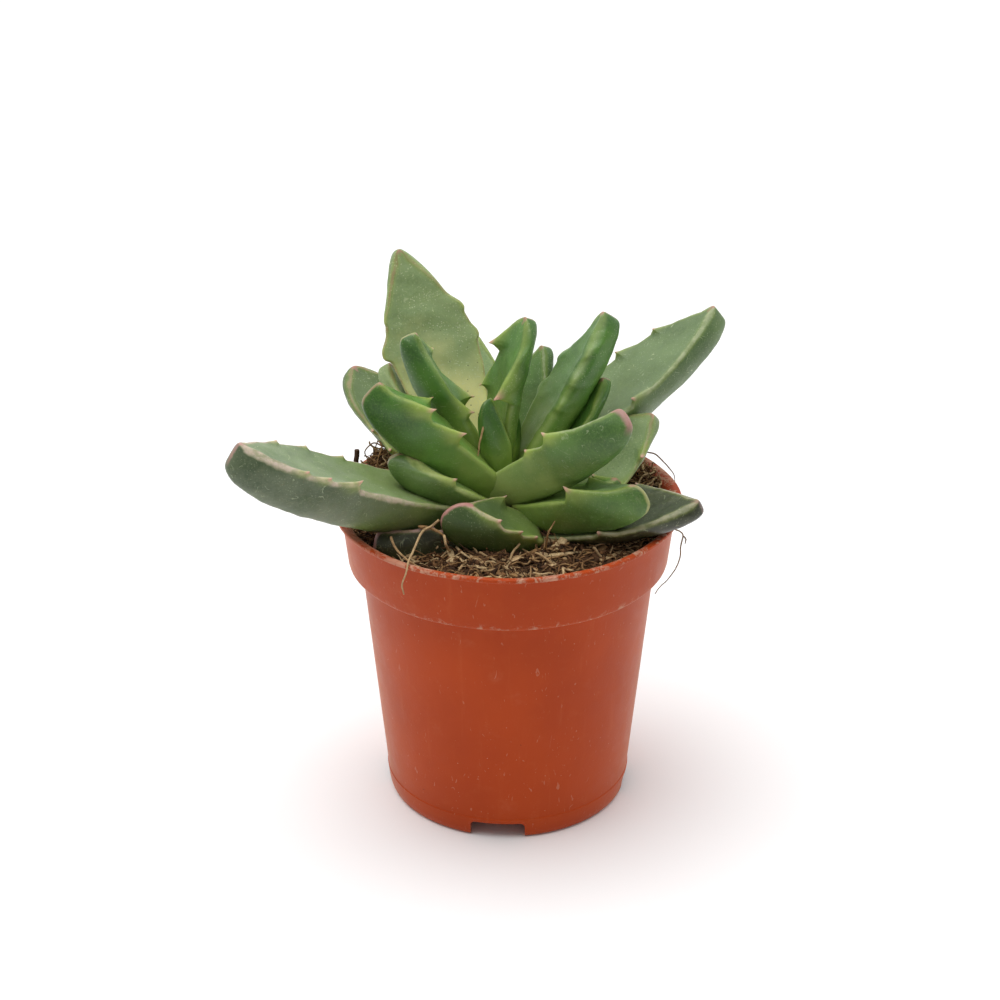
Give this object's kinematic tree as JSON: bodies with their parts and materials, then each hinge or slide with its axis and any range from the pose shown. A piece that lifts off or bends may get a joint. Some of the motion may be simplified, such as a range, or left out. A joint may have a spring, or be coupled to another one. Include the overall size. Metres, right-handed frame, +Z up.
{
  "type": "potted tiger jaws succulent",
  "caption": "Small succulent with thick keeled leaves, toothed along their margins, in a rosette on coir soil in a plastic nursery pot with a wide collar.",
  "frame": {"origin": "centre of the object's bounding box in plan, on the surface that the pot's foot ring stands on; the pot's own axis is 3.5 mm along +X and 2.1 mm along -Y from it", "axes": "+Z up along the pot's axis; the picture looks along +Y, with +X to its right"},
  "size_m": [0.076, 0.0592, 0.0845],
  "materials": {
    "pot": "satin moulded plastic, with lime specks and scuffs",
    "soil": "loose dark coir with tan fibres",
    "stem": "dull woody skin",
    "leaf": "satin green skin with fine pale dots, pale margins and pink tips"
  },
  "bodies": {
    "root": {"pot": "pot", "soil": "soil", "stem_main": "stem", "stem_side": "stem", "leaf_centre_front": "leaf", "leaf_centre_back": "leaf", "leaf_right_front": "leaf", "leaf_left_mid": "leaf", "leaf_left_up": "leaf", "leaf_right_centre": "leaf", "leaf_back_centre": "leaf", "leaf_back_tall": "leaf", "leaf_far_right": "leaf", "leaf_left_small": "leaf", "leaf_far_left": "leaf", "leaf_back_right": "leaf", "leaf_right_behind": "leaf", "leaf_right_low": "leaf", "leaf_right_shadow": "leaf", "leaf_right_mid": "leaf", "leaf_far_right_low": "leaf", "leaf_front": "leaf", "leaf_low_left": "leaf", "leaf_back_left": "leaf", "leaf_left_back": "leaf", "leaf_back_tip": "leaf", "leaf_back_low": "leaf"}
  },
  "joints": []
}
